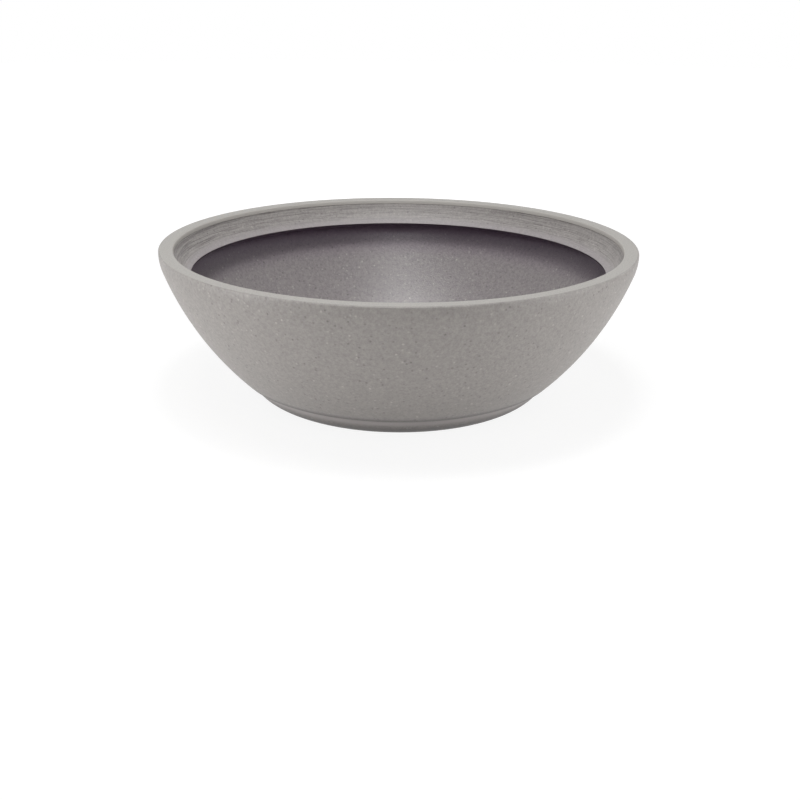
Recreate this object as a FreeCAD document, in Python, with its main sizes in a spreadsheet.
import FreeCAD, Part
import math
import os
import re

import Sketcher

# A low round bowl planter in stone-look plastic: a moulded bowl with a lip turned inwards, a dished
# collar snapped in under that lip, a foot ring the bowl stands on, and drain holes that are closed by
# push-in plugs with rubber seals.
# Millimetres, +Z up, origin on the ground under the bowl's axis, front of the bowl towards -Y.

SIZES = {
    # bowl wall, outer face: one long curve, and a tighter one that ends upright at the rim
    "rim_radius": 250,
    "pot_height": 160,
    "wall_thickness": 5,
    "wall_curve": 314,
    "shoulder_curve": 46,
    "wall_foot_radius": 172,
    "wall_foot_round": 1.5,
    # lip, turned inwards at the top of the wall
    "lip_width": 15.3,
    "lip_thickness": 4.8,
    "lip_outer_round": 2.6,
    "lip_inner_round": 4,
    # floor, with a sunken middle that plugs into the foot ring
    "floor_thickness": 5,
    "spigot_depth": 8,
    "spigot_clearance": 0.2,
    "floor_corner_round": 18,
    "sump_round": 2,
    # collar under the lip, and the bead in the wall that holds it up
    "collar_reach": 16.1,
    "collar_drop": 22,
    "collar_curve": 50,
    "collar_thickness": 3.5,
    "collar_clearance": 0.3,
    "collar_seam": 0.8,
    "bead_grip": 1.2,
    "bead_height": 4,
    # foot ring: its outer side is one curve that runs into the flat tread, and its core is hollow
    "foot_height": 22.5,
    "foot_inset": 7.5,
    "foot_curve": 27,
    "foot_top_width": 14,
    "foot_tread": 10,
    "foot_wall": 5,
    "foot_sole": 5,
    "foot_edge_round": 0.8,
    "channel_width": 22,
    "channel_depth": 2,
    # drain holes, each in line with a channel in the foot ring
    "drain_count": 4,
    "drain_angle": 45,
    "drain_circle_radius": 90,
    "drain_hole_radius": 10,
    # push-in plugs and their flat seals
    "plug_clearance": 0.2,
    "plug_tip": 3,
    "plug_tip_bevel": 1.5,
    "plug_overlap": 6,
    "plug_flange": 3,
    "plug_neck_radius": 5,
    "plug_neck": 5,
    "plug_knob_radius": 8.5,
    "plug_knob": 6,
    "plug_round": 1.2,
    "seal_thickness": 1.5,
    "seal_inset": 0.8,
}

# formulas that several pieces share, in the names of the sizes
LIP_INNER = "(rim_radius - lip_width)"
LIP_UNDERSIDE = "(pot_height - lip_thickness)"
LIP_EDGE = "(pot_height - lip_outer_round)"
COLLAR_UNDERSIDE = "(pot_height - lip_thickness - collar_thickness)"
FLANGE_RADIUS = (
    "(rim_radius - shoulder_curve - collar_clearance + sqrt((shoulder_curve - wall_thickness) ^ 2"
    " - (lip_thickness + collar_thickness - lip_outer_round) ^ 2))"
)
FOOT_RADIUS = "(wall_foot_radius - foot_inset)"
FOOT_TUCK = "sqrt(foot_height * (2 * foot_curve - foot_height))"
TREAD_EDGE = f"({FOOT_RADIUS} - {FOOT_TUCK})"
FOOT_BORE = f"({FOOT_RADIUS} - {FOOT_TUCK} - foot_tread)"
SOCKET_RADIUS = "(wall_foot_radius - foot_inset - foot_top_width)"
SPIGOT_RADIUS = "(wall_foot_radius - foot_inset - foot_top_width - spigot_clearance)"
SUMP_RADIUS = "(wall_foot_radius - foot_inset - foot_top_width - spigot_clearance - wall_thickness)"
FLOOR_UNDERSIDE = "(foot_height - spigot_depth)"
FLOOR_TOP = "(foot_height - spigot_depth + floor_thickness)"
LEDGE_TOP = "(foot_height + floor_thickness)"
STEM_RADIUS = "(drain_hole_radius - plug_clearance)"
PLUG_RADIUS = "(drain_hole_radius + plug_overlap)"

# places on a side of a sketch, and the sketch's own axes
START, FINISH, CENTRE = 1, 2, 3
ACROSS_AXIS, UPRIGHT_AXIS = -1, -2
ORIGIN = (ACROSS_AXIS, START)

TOLERANCE = 0.001

doc = FreeCAD.newDocument("bowl_planter")
sheet = doc.addObject("Spreadsheet::Sheet", "Sizes")
for row, (size_name, size_value) in enumerate(SIZES.items(), 1):
    sheet.set(f"A{row}", size_name)
    sheet.set(f"B{row}", str(size_value))
    sheet.setAlias(f"B{row}", size_name)
doc.recompute()


def formula(text):
    """The formula with each size name turned into a reference to its cell."""
    return re.sub(r"\b(" + "|".join(SIZES) + r")\b", r"Sizes.\1", text)


def value(text):
    """The number that a formula gives with the sizes as they stand."""
    return float(sheet.evalExpression(formula(text)))


def bind(target, property_name, text):
    target.setExpression(property_name, formula(text))


def new_body(name):
    body = doc.addObject("PartDesign::Body", name)
    body.Label = name
    return body


def origin_feature(body, role):
    return next(feature for feature in body.Origin.OriginFeatures if feature.Role == role)


def new_sketch(body, name, plane):
    sketch = body.newObject("Sketcher::SketchObject", name)
    sketch.AttachmentSupport = (origin_feature(body, plane), [""])
    sketch.MapMode = "FlatFace"
    return sketch


def constrain(sketch, kind, *places, size=None):
    """Adds a constraint and, where a size formula is given, binds its value to the formula."""
    if size is None:
        sketch.addConstraint(Sketcher.Constraint(kind, *places))
        return
    index = sketch.addConstraint(Sketcher.Constraint(kind, *places, value(size)))
    bind(sketch, f"Constraints[{index}]", size)


def place(sketch, side, end, across, up):
    """Fixes one end of a side at its distances across and up from the sketch's origin."""
    if across == "0":
        constrain(sketch, "PointOnObject", side, end, UPRIGHT_AXIS)
    else:
        constrain(sketch, "DistanceX", *ORIGIN, side, end, size=across)
    if up == "0":
        constrain(sketch, "PointOnObject", side, end, ACROSS_AXIS)
    else:
        constrain(sketch, "DistanceY", *ORIGIN, side, end, size=up)


def point(across, up):
    return FreeCAD.Vector(across, up, 0)


def draw_outline(sketch, corners, arcs=None, smooth=()):
    """Draws a closed outline through the corners, straight except where a side has an arc.

    A corner is a pair of formulas, or a vector near which the constraints will put it. arcs gives,
    for the side that leaves a corner, the arc's centre and whether it turns left. At the corners in
    smooth the two sides are tangent. Returns each side's two ends, in the order they are walked.
    """
    arcs = arcs or {}
    points = []
    for corner in corners:
        is_free = isinstance(corner, FreeCAD.Vector)
        points.append(corner if is_free else point(value(corner[0]), value(corner[1])))
    ends = []
    for side, start in enumerate(points):
        finish = points[(side + 1) % len(points)]
        if side not in arcs:
            sketch.addGeometry(Part.LineSegment(start, finish))
            ends.append((START, FINISH))
            continue
        centre, turns_left = arcs[side]
        first, last = (start, finish) if turns_left else (finish, start)
        angles = [math.atan2(end.y - centre.y, end.x - centre.x) for end in (first, last)]
        circle = Part.Circle(centre, FreeCAD.Vector(0, 0, 1), centre.distanceToPoint(start))
        sketch.addGeometry(Part.ArcOfCircle(circle, *angles))
        ends.append((START, FINISH) if turns_left else (FINISH, START))
    for side in range(len(points)):
        before = (side - 1) % len(points)
        kind = "Tangent" if side in smooth else "Coincident"
        constrain(sketch, kind, before, ends[before][1], side, ends[side][0])
    for side, corner in enumerate(corners):
        if not isinstance(corner, FreeCAD.Vector):
            place(sketch, side, ends[side][0], *corner)
    return ends


def revolve(body, sketch, name):
    """Turns the sketch once round its upright axis."""
    feature = body.newObject("PartDesign::Revolution", name)
    feature.Profile = sketch
    feature.ReferenceAxis = (sketch, ["V_Axis"])
    feature.Angle = 360
    doc.recompute()
    return feature


def ring_edge(feature, radius, height):
    """The name of the circular edge that has this radius at this height."""
    for number, edge in enumerate(feature.Shape.Edges, 1):
        curve = edge.Curve
        if not isinstance(curve, Part.Circle):
            continue
        if abs(curve.Radius - radius) < TOLERANCE and abs(curve.Center.z - height) < TOLERANCE:
            return f"Edge{number}"
    raise ValueError(f"{feature.Name} has no ring of radius {radius} at height {height}")


def round_rings(body, base, name, rings, size):
    """Rounds circular edges, each given by the formulas of its radius and its height."""
    fillet = body.newObject("PartDesign::Fillet", name)
    fillet.Base = (base, [ring_edge(base, value(radius), value(height)) for radius, height in rings])
    bind(fillet, "Radius", size)
    doc.recompute()
    return fillet


def cut_round_the_axis(body, sketch, name, depth=None):
    """Cuts the sketch upwards, right through or to a depth, at each drain's place round the axis."""
    pocket = body.newObject("PartDesign::Pocket", name)
    pocket.Profile = sketch
    pocket.Reversed = True
    if depth:
        bind(pocket, "Length", depth)
    else:
        pocket.Type = "ThroughAll"
    before = body.Shape.Volume
    doc.recompute()
    if body.Shape.Volume > before - TOLERANCE:
        raise ValueError(f"{name} cuts nothing")
    pattern = body.newObject("PartDesign::PolarPattern", f"{name}_pattern")
    pattern.Originals = [pocket]
    pattern.Axis = (origin_feature(body, "Z_Axis"), [""])
    pattern.Angle = 360
    bind(pattern, "Occurrences", "drain_count")
    body.Tip = pattern
    doc.recompute()


def on_circle(centre, radius, up):
    """The point of a circle, on its outer side, at a given height."""
    return point(centre.x + math.sqrt(radius**2 - (up - centre.y) ** 2), up)


def wall_centres():
    """Centres of the wall's two tangent curves: the shoulder ends upright at the rim, and the long
    curve starts at the wall's foot and touches the shoulder from inside."""
    shoulder_radius = value("shoulder_curve")
    wall_radius = value("wall_curve")
    shoulder = point(value("rim_radius") - shoulder_radius, value(LIP_EDGE))
    foot = point(value("wall_foot_radius"), value("foot_height"))
    reach = shoulder - foot
    span = reach.Length
    along = (wall_radius**2 - (wall_radius - shoulder_radius) ** 2 + span**2) / (2 * span)
    aside = math.sqrt(wall_radius**2 - along**2)
    direction = reach / span
    wall = foot + direction * along + point(-direction.y, direction.x) * aside
    return shoulder, wall


def make_bowl_shell():
    """Wall, lip and floor in one moulding, with the collar's bead and the drain holes."""
    body = new_body("bowl_shell")
    sketch = new_sketch(body, "bowl_outline", "XZ_Plane")
    shoulder, wall = wall_centres()
    outwards = (shoulder - wall).normalize()
    inner_shoulder = value("shoulder_curve - wall_thickness")
    inner_wall = value("wall_curve - wall_thickness")
    lip_outer_centre = point(value("rim_radius - lip_outer_round"), value(LIP_EDGE))
    lip_inner_centre = point(value(LIP_INNER + " + lip_inner_round"), value("pot_height - lip_inner_round"))
    corners = [
        ("0", FLOOR_UNDERSIDE),
        (SPIGOT_RADIUS, FLOOR_UNDERSIDE),
        (SPIGOT_RADIUS, "foot_height"),
        ("wall_foot_radius", "foot_height"),
        shoulder + outwards * value("shoulder_curve"),
        ("rim_radius", LIP_EDGE),
        ("rim_radius - lip_outer_round", "pot_height"),
        (LIP_INNER + " + lip_inner_round", "pot_height"),
        (LIP_INNER, "pot_height - lip_inner_round"),
        (LIP_INNER, LIP_UNDERSIDE),
        on_circle(shoulder, inner_shoulder, value(LIP_UNDERSIDE)),
        shoulder + outwards * inner_shoulder,
        on_circle(wall, inner_wall, value(LEDGE_TOP)),
        (SUMP_RADIUS, LEDGE_TOP),
        (SUMP_RADIUS, FLOOR_TOP),
        ("0", FLOOR_TOP),
    ]
    wall_side, shoulder_side, lip_outer_side, lip_inner_side = 3, 4, 5, 7
    lip_under_side, inner_shoulder_side, inner_wall_side, ledge_side = 9, 10, 11, 12
    arcs = {
        wall_side: (wall, True),
        shoulder_side: (shoulder, True),
        lip_outer_side: (lip_outer_centre, True),
        lip_inner_side: (lip_inner_centre, True),
        inner_shoulder_side: (shoulder, False),
        inner_wall_side: (wall, False),
    }
    ends = draw_outline(sketch, corners, arcs, smooth=(shoulder_side, inner_wall_side))
    constrain(sketch, "Radius", wall_side, size="wall_curve")
    constrain(sketch, "Radius", shoulder_side, size="shoulder_curve")
    constrain(sketch, "Horizontal", shoulder_side, CENTRE, shoulder_side, ends[shoulder_side][1])
    constrain(sketch, "Radius", lip_outer_side, size="lip_outer_round")
    constrain(sketch, "Radius", lip_inner_side, size="lip_inner_round")
    constrain(sketch, "Horizontal", lip_under_side)
    constrain(sketch, "Coincident", inner_shoulder_side, CENTRE, shoulder_side, CENTRE)
    constrain(sketch, "Radius", inner_shoulder_side, size="shoulder_curve - wall_thickness")
    constrain(sketch, "Coincident", inner_wall_side, CENTRE, wall_side, CENTRE)
    constrain(sketch, "Horizontal", ledge_side)
    moulding = revolve(body, sketch, "bowl_moulding")

    corner_radius = str(on_circle(wall, inner_wall, value(LEDGE_TOP)).x)
    rounded = round_rings(body, moulding, "floor_corner", [(corner_radius, LEDGE_TOP)], "floor_corner_round")
    sump_rings = [(SUMP_RADIUS, LEDGE_TOP), (SUMP_RADIUS, FLOOR_TOP)]
    rounded = round_rings(body, rounded, "sump_corners", sump_rings, "sump_round")
    round_rings(body, rounded, "wall_foot_corner", [("wall_foot_radius", "foot_height")], "wall_foot_round")

    bead_sketch = new_sketch(body, "bead_outline", "XZ_Plane")
    inside_wall = FLANGE_RADIUS + " + wall_thickness / 2"
    bead_corners = [
        (FLANGE_RADIUS + " - bead_grip", COLLAR_UNDERSIDE),
        (inside_wall, COLLAR_UNDERSIDE),
        (inside_wall, COLLAR_UNDERSIDE + " - bead_height"),
    ]
    draw_outline(bead_sketch, bead_corners)
    revolve(body, bead_sketch, "collar_bead")

    hole_sketch = new_sketch(body, "drain_outline", "XY_Plane")
    bind(hole_sketch, "AttachmentOffset.Rotation.Angle", "drain_angle")
    hole_centre = point(value("drain_circle_radius"), 0)
    hole_sketch.addGeometry(Part.Circle(hole_centre, FreeCAD.Vector(0, 0, 1), value("drain_hole_radius")))
    hole = 0
    place(hole_sketch, hole, CENTRE, "drain_circle_radius", "0")
    constrain(hole_sketch, "Radius", hole, size="drain_hole_radius")
    cut_round_the_axis(body, hole_sketch, "drain_holes")
    return body


def make_rim_collar():
    """Dished ring that hangs from a flat flange under the lip and ends in a free edge."""
    body = new_body("rim_collar")
    sketch = new_sketch(body, "collar_outline", "XZ_Plane")
    top = point(value(LIP_INNER + " + collar_seam"), value(LIP_UNDERSIDE))
    edge = point(value(LIP_INNER + " - collar_reach"), value(LIP_UNDERSIDE + " - collar_drop"))
    chord = edge - top
    aside = math.sqrt(value("collar_curve") ** 2 - (chord.Length / 2) ** 2)
    dish = (top + edge) / 2 + point(chord.y, -chord.x).normalize() * aside
    back_radius = value("collar_curve + collar_thickness")
    corners = [
        (LIP_INNER + " + collar_seam", LIP_UNDERSIDE),
        (LIP_INNER + " - collar_reach", LIP_UNDERSIDE + " - collar_drop"),
        dish + (edge - dish).normalize() * back_radius,
        on_circle(dish, back_radius, value(COLLAR_UNDERSIDE)),
        (FLANGE_RADIUS, COLLAR_UNDERSIDE),
        (FLANGE_RADIUS, LIP_UNDERSIDE),
    ]
    front_side, edge_side, back_side, flange_side = 0, 1, 2, 3
    draw_outline(sketch, corners, {front_side: (dish, False), back_side: (dish, True)})
    constrain(sketch, "Radius", front_side, size="collar_curve")
    constrain(sketch, "Coincident", back_side, CENTRE, front_side, CENTRE)
    constrain(sketch, "Radius", back_side, size="collar_curve + collar_thickness")
    constrain(sketch, "PointOnObject", front_side, CENTRE, edge_side)
    constrain(sketch, "Horizontal", flange_side)
    revolve(body, sketch, "collar_ring")
    return body


def make_foot_ring():
    """Ring the bowl stands on: a socket for the floor's spigot above, a hollow core that the floor
    covers, a rounded outer side, a flat tread, and channels that let drained water out."""
    body = new_body("foot_ring")
    sketch = new_sketch(body, "foot_outline", "XZ_Plane")
    core_inner = FOOT_BORE + " + foot_wall"
    core_outer = SOCKET_RADIUS + " - foot_wall"
    corners = [
        (FOOT_BORE, "0"),
        (TREAD_EDGE, "0"),
        (FOOT_RADIUS, "foot_height"),
        (SOCKET_RADIUS, "foot_height"),
        (SOCKET_RADIUS, FLOOR_UNDERSIDE),
        (core_outer, FLOOR_UNDERSIDE),
        (core_outer, "foot_sole"),
        (core_inner, "foot_sole"),
        (core_inner, FLOOR_UNDERSIDE),
        (FOOT_BORE, FLOOR_UNDERSIDE),
    ]
    outer_side = 1
    curve_centre = point(value(TREAD_EDGE), value("foot_curve"))
    draw_outline(sketch, corners, {outer_side: (curve_centre, True)})
    constrain(sketch, "Radius", outer_side, size="foot_curve")
    ring = revolve(body, sketch, "foot_moulding")
    round_rings(body, ring, "foot_edges", [(FOOT_BORE, "0"), (FOOT_RADIUS, "foot_height")], "foot_edge_round")

    channel_sketch = new_sketch(body, "channel_outline", "XY_Plane")
    bind(channel_sketch, "AttachmentOffset.Rotation.Angle", "drain_angle")
    channel_width = value("channel_width")
    inner_end = FOOT_BORE + " - foot_tread"
    near, far = value(inner_end), value(FOOT_RADIUS)
    low, high = -channel_width / 2, channel_width / 2
    draw_outline(channel_sketch, [point(near, low), point(far, low), point(far, high), point(near, high)])
    bottom, outer, top, inner = range(4)
    constrain(channel_sketch, "Horizontal", bottom)
    constrain(channel_sketch, "Horizontal", top)
    constrain(channel_sketch, "Vertical", outer)
    constrain(channel_sketch, "Vertical", inner)
    constrain(channel_sketch, "DistanceX", *ORIGIN, bottom, START, size=inner_end)
    constrain(channel_sketch, "DistanceX", *ORIGIN, bottom, FINISH, size=FOOT_RADIUS)
    constrain(channel_sketch, "DistanceY", *ORIGIN, top, START, size="channel_width / 2")
    constrain(channel_sketch, "DistanceY", bottom, START, *ORIGIN, size="channel_width / 2")
    cut_round_the_axis(body, channel_sketch, "foot_channels", depth="channel_depth")
    return body


def stand_at_drain(body, number):
    """Puts a piece that was drawn about its own axis over a drain hole, at the floor's top face."""
    bearing = f"(drain_angle + 360 * {number - 1} / drain_count)"
    bind(body, "Placement.Base.x", f"drain_circle_radius * cos({bearing})")
    bind(body, "Placement.Base.y", f"drain_circle_radius * sin({bearing})")
    bind(body, "Placement.Base.z", FLOOR_TOP)


def make_drain_plug(number):
    """Hard plug: a stem through the hole, a flange over its seal, and a knob to pull."""
    body = new_body(f"drain_plug_{number}")
    sketch = new_sketch(body, f"plug_outline_{number}", "XZ_Plane")
    flange_top = "(seal_thickness + plug_flange)"
    neck_top = "(seal_thickness + plug_flange + plug_neck)"
    knob_top = "(seal_thickness + plug_flange + plug_neck + plug_knob)"
    tip = "(floor_thickness + plug_tip)"
    axis_bottom = point(0, -value(tip))
    bevel_bottom = point(value(STEM_RADIUS + " - plug_tip_bevel"), -value(tip))
    bevel_top = point(value(STEM_RADIUS), -value(tip + " - plug_tip_bevel"))
    corners = [
        axis_bottom,
        bevel_bottom,
        bevel_top,
        (STEM_RADIUS, "seal_thickness"),
        (PLUG_RADIUS, "seal_thickness"),
        (PLUG_RADIUS, flange_top),
        ("plug_neck_radius", flange_top),
        ("plug_neck_radius", neck_top),
        ("plug_knob_radius", neck_top),
        ("plug_knob_radius", knob_top),
        ("0", knob_top),
    ]
    draw_outline(sketch, corners)
    tip_side, bevel_side, stem_side = 0, 1, 2
    constrain(sketch, "PointOnObject", tip_side, START, UPRIGHT_AXIS)
    constrain(sketch, "Horizontal", tip_side)
    constrain(sketch, "DistanceY", tip_side, START, *ORIGIN, size=tip)
    constrain(sketch, "DistanceX", *ORIGIN, bevel_side, START, size=STEM_RADIUS + " - plug_tip_bevel")
    constrain(sketch, "Vertical", stem_side)
    constrain(sketch, "DistanceY", stem_side, START, *ORIGIN, size=tip + " - plug_tip_bevel")
    turned = revolve(body, sketch, f"plug_turning_{number}")
    soft_rings = [
        (PLUG_RADIUS, flange_top),
        ("plug_neck_radius", flange_top),
        ("plug_knob_radius", neck_top),
        ("plug_knob_radius", knob_top),
    ]
    round_rings(body, turned, f"plug_rounds_{number}", soft_rings, "plug_round")
    stand_at_drain(body, number)
    return body


def make_plug_seal(number):
    """Flat rubber ring round the plug's stem, between its flange and the floor."""
    body = new_body(f"plug_seal_{number}")
    sketch = new_sketch(body, f"seal_outline_{number}", "XZ_Plane")
    outer = PLUG_RADIUS + " - seal_inset"
    inner = STEM_RADIUS + " + plug_clearance"
    corners = [(inner, "0"), (outer, "0"), (outer, "seal_thickness"), (inner, "seal_thickness")]
    draw_outline(sketch, corners)
    revolve(body, sketch, f"seal_ring_{number}")
    stand_at_drain(body, number)
    return body


pieces = [make_bowl_shell(), make_rim_collar(), make_foot_ring()]
for drain in range(1, int(value("drain_count")) + 1):
    pieces.append(make_drain_plug(drain))
    pieces.append(make_plug_seal(drain))
doc.recompute()

for item in doc.Objects:
    if "Invalid" in item.State or "Error" in item.State:
        raise RuntimeError(f"{item.Name} failed: {item.State}")
    if item.isDerivedFrom("Sketcher::SketchObject") and not item.FullyConstrained:
        raise RuntimeError(f"{item.Name} is not fully constrained")
for piece in pieces:
    if piece.Shape.isNull() or not piece.Shape.isValid() or len(piece.Shape.Solids) != 1:
        raise RuntimeError(f"{piece.Label} is not one valid solid")

os.makedirs("parts", exist_ok=True)
for piece in pieces:
    piece.Shape.exportStep(f"parts/{piece.Label}.step")
    print(f"{piece.Label}: {piece.Shape.Volume / 1000:.1f} cubic centimetres")
